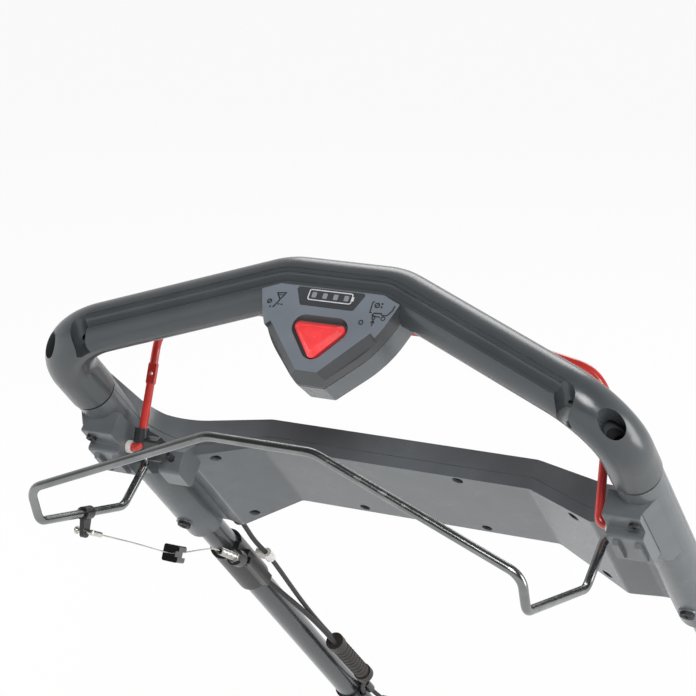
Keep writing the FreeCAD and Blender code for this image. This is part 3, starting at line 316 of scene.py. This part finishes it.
for finish, names in CAD_FINISHES.items():
    for name in names:
        nodes[name].data.materials.clear()
        nodes[name].data.materials.append(finish)


# Camera and cords.

SENSOR_WIDTH, LENS = 36.0, 108.62
CAMERA_PLACE = (0.7043, -1.9208, 1.0031)
CAMERA_RIGHT = (0.8913, 0.45346, 0.0)
CAMERA_UP = (-0.1180, 0.2320, 0.9655)
CAMERA_BACK = (0.4378, -0.8606, 0.2603)


def make_camera():
    data = bpy.data.cameras.new("photo_view")
    data.sensor_width = SENSOR_WIDTH
    data.lens = LENS
    camera = bpy.data.objects.new("photo_view", data)
    bpy.context.scene.collection.objects.link(camera)
    turn = Matrix((CAMERA_RIGHT, CAMERA_UP, CAMERA_BACK)).transposed().to_4x4()
    camera.matrix_world = Matrix.Translation(CAMERA_PLACE) @ turn
    bpy.context.scene.camera = camera


def place_piece(name, data, finish, body, slot):
    data.materials.clear()
    data.materials.append(finish)
    made = bpy.data.objects.new(name, data)
    bpy.context.scene.collection.objects.link(made)
    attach(made, body)
    return made


def make_cord(name, route, diameter, look, node):
    """A smooth cord along the route's points, given in the leg frame. Its look is finish, body and slot; the
    slot is not used.
    """
    line = bpy.data.curves.new(name, "CURVE")
    line.dimensions = "3D"
    line.bevel_depth = diameter / 2
    line.bevel_resolution = 4
    line.use_fill_caps = True
    spline = line.splines.new("NURBS")
    spline.points.add(len(route) - 1)
    for point, place in zip(spline.points, route):
        point.co = (*(LEG @ Vector(place)), 1.0)
    spline.order_u = 3
    spline.use_endpoint_u = True
    spline.resolution_u = 10
    cord = place_piece(name, line, *look)
    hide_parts(node)


DRIVE_CABLE = [(-218.6, -8.6, -308.5), (-219.6, -4, -327), (-219.2, -3.8, -352), (-213, -3.2, -388),
               (-206, -2.2, -430), (-202.2, -1.2, -472), (-201, -1, -514), (-199.2, -1, -565),
               (-197.8, -1, -606), (-217.5, -4, -642), (-217.5, -4, -676)]
HARNESS = [(-197, 5, -212), (-199, 5, -250), (-203, 4.5, -288), (-199, 4, -316), (-201, 4, -352),
           (-204, 4, -392), (-206.5, 4, -434), (-207, 4, -474), (-205.5, 4, -514), (-203.7, 4, -566),
           (-202.3, 4, -606), (-218, 7.5, -642), (-218, 7.5, -676), (-213.5, 9.5, -706)]

# The bare wire bows inwards below the bail's tab, so that the bail's knee passes it.
PULL_WIRE = [(-197.2, -110.5, -36.9), (-197.3, -100.4, -66.7), (-197.4, -91.3, -93.8), (-203.5, -78, -135),
             (-207.6, -68.1, -164.7), (-208.4, -64.7, -172.4), (-209.2, -61.2, -180.2),
             (-215.2, -26.7, -242.5), (-216, -22.5, -257.9), (-217.8, -13, -292.6)]
SHEATH_LOOK = (rubber, "handle_frame", "cable_rubber")
WIRE_LOOK = (zinc, "cable_end", "zinc_steel")

make_camera()
make_cord("drive_cable", DRIVE_CABLE, diameter=0.005, look=SHEATH_LOOK, node="cable_sheath")
make_cord("wiring", HARNESS, diameter=0.0046, look=SHEATH_LOOK, node="wire_harness")
make_cord("pull_wire", PULL_WIRE, diameter=0.0012, look=WIRE_LOOK, node="drive_wire")


# Stage.

FLOOR_REACH = 9.0
FLOOR_GAP = 0.001
FLOOR_GLOW = 0.93     # the rest of the floor's white takes the shadow
DIM_SIDE = (0.25, -0.72, 0.65)
AIM = (0.0, -0.45, 0.42)


def make_floor():
    low = cad_box[0].z - FLOOR_GAP
    corners = [(x * FLOOR_REACH, y * FLOOR_REACH, low) for x, y in ((-1, -1), (1, -1), (1, 1), (-1, 1))]
    mesh = bpy.data.meshes.new("floor")
    mesh.from_pydata(corners, [], [(0, 1, 2, 3)])
    floor = bpy.data.objects.new("floor", mesh)
    bpy.context.scene.collection.objects.link(floor)
    finish = Finish("floor_white")
    seen = finish.seen_ray("Is Camera Ray", "Is Glossy Ray", "Is Transmission Ray")
    matt = finish.node("ShaderNodeBsdfDiffuse", None, {"Color": (0.88, 0.88, 0.88, 1)})
    white = finish.node("ShaderNodeEmission", None, {"Color": (1, 1, 1, 1), "Strength": 1.0})
    both = finish.node("ShaderNodeMixShader", None, {0: seen * FLOOR_GLOW, 1: matt, 2: white})
    finish.node("ShaderNodeOutputMaterial", None, {"Surface": both})
    mesh.materials.append(finish.material)


def make_world():
    """White to the camera. To the object, a white tent that is dim where the operator stands."""
    world = bpy.data.worlds.new("studio")
    bpy.context.scene.world = world
    world.use_nodes = True
    web = Web(world.node_tree)
    towards = web.node("ShaderNodeTexCoord", out="Generated")
    front = web.node("ShaderNodeVectorMath", {"operation": "DOT_PRODUCT"}, {0: towards, 1: DIM_SIDE}, "Value")
    mirrored = web.node("ShaderNodeBackground", None, {"Strength": web.ramp(front, -0.2, 0.7, 1.0, 0.12)})
    soft = web.node("ShaderNodeBackground", None, {"Color": (0.97, 0.98, 1.0, 1),
                                                   "Strength": web.ramp(front, -0.3, 0.8, 0.7, 0.15)})
    white = web.node("ShaderNodeBackground", None, {"Color": (1, 1, 1, 1), "Strength": 1.0})
    lit = web.node("ShaderNodeMixShader", None, {0: web.seen_ray("Is Glossy Ray", "Is Transmission Ray"),
                                                 1: soft, 2: mirrored})
    both = web.node("ShaderNodeMixShader", None, {0: web.seen_ray("Is Camera Ray"), 1: lit, 2: white})
    web.node("ShaderNodeOutputWorld", None, {"Surface": both})


def make_lamp(name, place, size, watts, mirrored=True):
    """A soft box aimed at the handle. Unless it is mirrored, shiny faces don't show it."""
    lamp = bpy.data.lights.new(name, "AREA")
    lamp.shape = "RECTANGLE"
    lamp.size, lamp.size_y = size
    lamp.energy = watts
    holder = bpy.data.objects.new(name, lamp)
    bpy.context.scene.collection.objects.link(holder)
    holder.location = place
    holder.visible_camera = False
    holder.visible_glossy = mirrored
    holder.rotation_euler = (Vector(AIM) - Vector(place)).to_track_quat("-Z", "Y").to_euler()


make_floor()
make_world()
make_lamp("right_side", (2.0, -0.1, 0.5), size=(0.8, 1.6), watts=28)
make_lamp("low_left", (-1.9, -0.8, 0.1), size=(1.6, 0.8), watts=60, mirrored=False)
make_lamp("behind_and_above", (-0.7, 2.2, 2.7), size=(2.4, 1.6), watts=45)
make_lamp("front_fill", (1.2, -2.6, 2.2), size=(1.2, 1.2), watts=70)
bpy.context.scene.view_settings.view_transform = "Standard"


# Repeated pieces.

class Repeat(Web):
    """A Geometry Nodes tree with named inputs, ended by Realize Instances and Set Material."""

    KINDS = {float: "NodeSocketFloat", int: "NodeSocketInt", tuple: "NodeSocketVector"}

    def __init__(self, name, **inputs):
        super().__init__(bpy.data.node_groups.new(name, "GeometryNodeTree"))
        face = self.tree.interface
        face.new_socket("Geometry", in_out="OUTPUT", socket_type="NodeSocketGeometry")
        self.inputs, self.identifiers = inputs, {}
        for word, value in inputs.items():
            self.identifiers[word] = face.new_socket(word, in_out="INPUT",
                                                     socket_type=self.KINDS[type(value)]).identifier
        self.identifiers["finish"] = face.new_socket("finish", in_out="INPUT",
                                                     socket_type="NodeSocketMaterial").identifier

    def given(self, word):
        return self.node("NodeGroupInput", out=word)

    def mesh(self, geometry, finish, placing):
        real = self.node("GeometryNodeRealizeInstances", None, {"Geometry": geometry})
        dressed = self.node("GeometryNodeSetMaterial", None,
                            {"Geometry": real, "Material": self.given("finish")})
        self.node("NodeGroupOutput", None, {0: dressed})
        holder = bpy.data.objects.new("grown", bpy.data.meshes.new("grown"))
        bpy.context.scene.collection.objects.link(holder)
        modifier = holder.modifiers.new("grow", "NODES")
        modifier.node_group = self.tree
        for word, value in {**self.inputs, "finish": finish}.items():
            modifier[self.identifiers[word]] = value
        grown = holder.evaluated_get(bpy.context.evaluated_depsgraph_get())
        mesh = bpy.data.meshes.new_from_object(grown)
        holder.modifiers.remove(modifier)
        bpy.data.objects.remove(holder)
        mesh.transform(placing)
        return mesh


def rings_along(name, start, end, count, radius, wire, finish):
    """Round beads at equal steps along a straight axis in the leg frame."""
    tree = Repeat(name, start=start, end=end, count=count, radius=radius, wire=wire)
    steps = tree.node("GeometryNodeMeshLine", {"mode": "END_POINTS"},
                      {"Count": tree.given("count"), "Start Location": tree.given("start"),
                       "Offset": tree.given("end")})
    circle = tree.node("GeometryNodeCurvePrimitiveCircle", None,
                       {"Resolution": 36, "Radius": tree.given("radius")})
    section = tree.node("GeometryNodeCurvePrimitiveCircle", None,
                        {"Resolution": 8, "Radius": tree.given("wire")})
    bead = tree.node("GeometryNodeCurveToMesh", None, {"Curve": circle, "Profile Curve": section})
    axis = tree.node("ShaderNodeVectorMath", {"operation": "SUBTRACT"}, {0: tree.given("end"),
                                                                        1: tree.given("start")})
    turned = tree.node("FunctionNodeAlignRotationToVector", {"axis": "Z"}, {"Vector": axis})
    beads = tree.node("GeometryNodeInstanceOnPoints", None, {"Points": steps, "Instance": bead,
                                                             "Rotation": turned})
    return tree.mesh(beads, finish, LEG)


def charge_bar_row(count, pitch, centre, size, corner, thick):
    """A row of rounded bars on the pod's face."""
    first = (centre[0] - pitch * (count - 1) / 2, centre[1], 0.0)
    tree = Repeat("charge_bar_row", count=count, first=first, step=(pitch, 0.0, 0.0), wide=size[0],
                  tall=size[1], corner=corner, thick=thick)
    places = tree.node("GeometryNodeMeshLine", {"mode": "OFFSET"}, {"Count": tree.given("count"),
                                                                   "Start Location": tree.given("first"),
                                                                   "Offset": tree.given("step")})
    outline = tree.node("GeometryNodeCurvePrimitiveQuadrilateral", None, {"Width": tree.given("wide"),
                                                                         "Height": tree.given("tall")})
    rounded = tree.node("GeometryNodeFilletCurve", {"mode": "POLY"}, {"Curve": outline, "Count": 4,
                                                                     "Radius": tree.given("corner")})
    face = tree.node("GeometryNodeFillCurve", None, {"Curve": rounded})
    slab = tree.node("GeometryNodeExtrudeMesh", None, {"Mesh": face, "Offset Scale": tree.given("thick")})
    bars = tree.node("GeometryNodeInstanceOnPoints", None, {"Points": places, "Instance": slab})
    return tree.mesh(bars, grey_ink, POD)


BARREL_MOUTH, BARREL_FOOT = Vector((-216.0, -22.5, -257.9)), Vector((-218.6, -8.6, -308.5))
COUPLING_TOP, COUPLING_FOOT = Vector((-203.2, 1.5, -516.0)), Vector((-200.1, 1.5, -604.0))
CHARGE_CENTRE = (0.5, 59.4)


def between(start, end, share):
    return tuple(start.lerp(end, share))


place_piece("adjuster_thread",
            rings_along("adjuster_thread", between(BARREL_MOUTH, BARREL_FOOT, 0.02),
                        between(BARREL_MOUTH, BARREL_FOOT, 0.52), count=22, radius=3.45, wire=0.32,
                        finish=zinc),
            zinc, "handle_frame", "zinc_steel")
place_piece("coupling_ribs",
            rings_along("coupling_ribs", between(COUPLING_TOP, COUPLING_FOOT, 0.2),
                        between(COUPLING_TOP, COUPLING_FOOT, 0.8), count=9, radius=7.7, wire=0.8,
                        finish=sleeve_rubber),
            sleeve_rubber, "handle_frame", "black_plastic")
place_piece("charge_bars",
            charge_bar_row(count=4, pitch=9.0, centre=CHARGE_CENTRE, size=(3.8, 4.5), corner=0.7, thick=0.09),
            grey_ink, "handle_frame", "light_plastic")


# Printed marks on the pod.

INK_THICK = 0.08


def arc(centre, radius, start=0.0, end=360.0, steps=24):
    """Points along an arc. A full circle doesn't repeat its first point."""
    count = steps if end - start >= 360.0 else steps + 1
    turns = [math.radians(start + (end - start) * i / steps) for i in range(count)]
    return [(centre[0] + radius * math.cos(turn), centre[1] + radius * math.sin(turn)) for turn in turns]


def rounded_box(centre, wide, tall, corner):
    points = []
    for turn, (sx, sy) in enumerate(((1, 1), (-1, 1), (-1, -1), (1, -1))):
        middle = (centre[0] + sx * (wide / 2 - corner), centre[1] + sy * (tall / 2 - corner))
        points += arc(middle, corner, 90.0 * turn, 90.0 * (turn + 1), 5)
    return points


def lay_stroke(mesh, points, wide, closed=False):
    """A flat printed line of even width, mitred at its corners."""
    points = [Vector(point) for point in points]
    count = len(points)
    sides = []
    for i, point in enumerate(points):
        before = points[i - 1] if closed or i else None
        after = points[(i + 1) % count] if closed or i < count - 1 else None
        ends = [(a, b) for a, b in ((before, point), (point, after)) if a is not None and b is not None]
        runs = [(b - a).normalized() for a, b in ends]
        normals = [Vector((-run.y, run.x)) for run in runs]
        mitre = (normals[0] + normals[-1]).normalized()
        reach = wide / 2 / max(mitre.dot(normals[0]), 0.4)
        sides.append([mesh.verts.new((*(point + mitre * reach * side), 0.0)) for side in (1, -1)])
    for i in range(count if closed else count - 1):
        (a, b), (c, d) = sides[i], sides[(i + 1) % count]
        mesh.faces.new((a, b, d, c))


def lay_patch(mesh, points):
    mesh.faces.new([mesh.verts.new((*point, 0.0)) for point in points])


def print_marks(name, strokes, patches, finish, slot):
    mesh = bmesh.new()
    for points, wide, closed in strokes:
        lay_stroke(mesh, points, wide, closed)
    for points in patches:
        lay_patch(mesh, points)
    raised = bmesh.ops.extrude_face_region(mesh, geom=mesh.faces[:])
    bmesh.ops.translate(mesh, verts=[item for item in raised["geom"] if isinstance(item, bmesh.types.BMVert)],
                        vec=(0, 0, INK_THICK))
    bmesh.ops.recalc_face_normals(mesh, faces=mesh.faces[:])
    data = bpy.data.meshes.new(name)
    mesh.to_mesh(data)
    mesh.free()
    data.transform(POD)
    place_piece(name, data, finish, "handle_frame", slot)


print_marks("charge_outline", [(rounded_box(CHARGE_CENTRE, 36.0, 8.4, 1.4), 0.8, True)],
            [[(18.8, 57.6), (20.2, 57.6), (20.2, 61.2), (18.8, 61.2)]], pale_ink, "light_plastic")
LEFT_MARKS = [
    ([(-43.6, 57.5), (-36.6, 58.2), (-40.0, 52.3)], 1.0, True),
    ([(-42.4, 55.9), (-37.9, 56.3)], 0.7, False),
    ([(-40.0, 52.0), (-44.0, 45.2)], 1.0, False),
    (arc((-48.2, 50.0), 1.6), 0.9, True),
    ([(-49.2, 48.6), (-47.2, 51.4)], 0.7, False),
    (arc((-46.4, 45.6), 0.5), 0.6, True),
    ([(-40.8, 48.4), (-39.2, 48.4)], 1.0, False),
    ([(-38.2, 48.4), (-36.4, 48.4)], 1.0, False),
]
RIGHT_MARKS = [
    ([(37.9, 59.5), (36.2, 59.5), (36.2, 50.6), (37.9, 50.6)], 0.9, False),
    (arc((40.4, 57.0), 1.8), 0.9, True),
    ([(39.2, 55.4), (41.6, 58.6)], 0.7, False),
    (arc((44.2, 58.6), 0.5), 0.6, True),
    (arc((44.2, 55.8), 0.5), 0.6, True),
    ([(38.4, 48.4), (40.0, 50.4), (45.4, 50.8), (47.0, 49.2), (50.4, 49.6), (53.8, 54.0), (54.6, 58.2)],
     1.0, False),
    ([(38.4, 48.4), (45.6, 47.6)], 0.8, False),
    (arc((40.4, 46.6), 1.2), 0.8, True),
    (arc((48.2, 46.8), 1.5), 0.8, True),
    (arc((31.6, 41.8), 1.6), 0.9, True),
    ([(40.8, 39.8), (40.8, 44.0)], 0.9, False),
    ([(39.4, 42.4), (40.8, 44.4), (42.2, 42.4)], 0.9, False),
]
print_marks("button_marks", LEFT_MARKS + RIGHT_MARKS, [], dark_ink, "black_plastic")
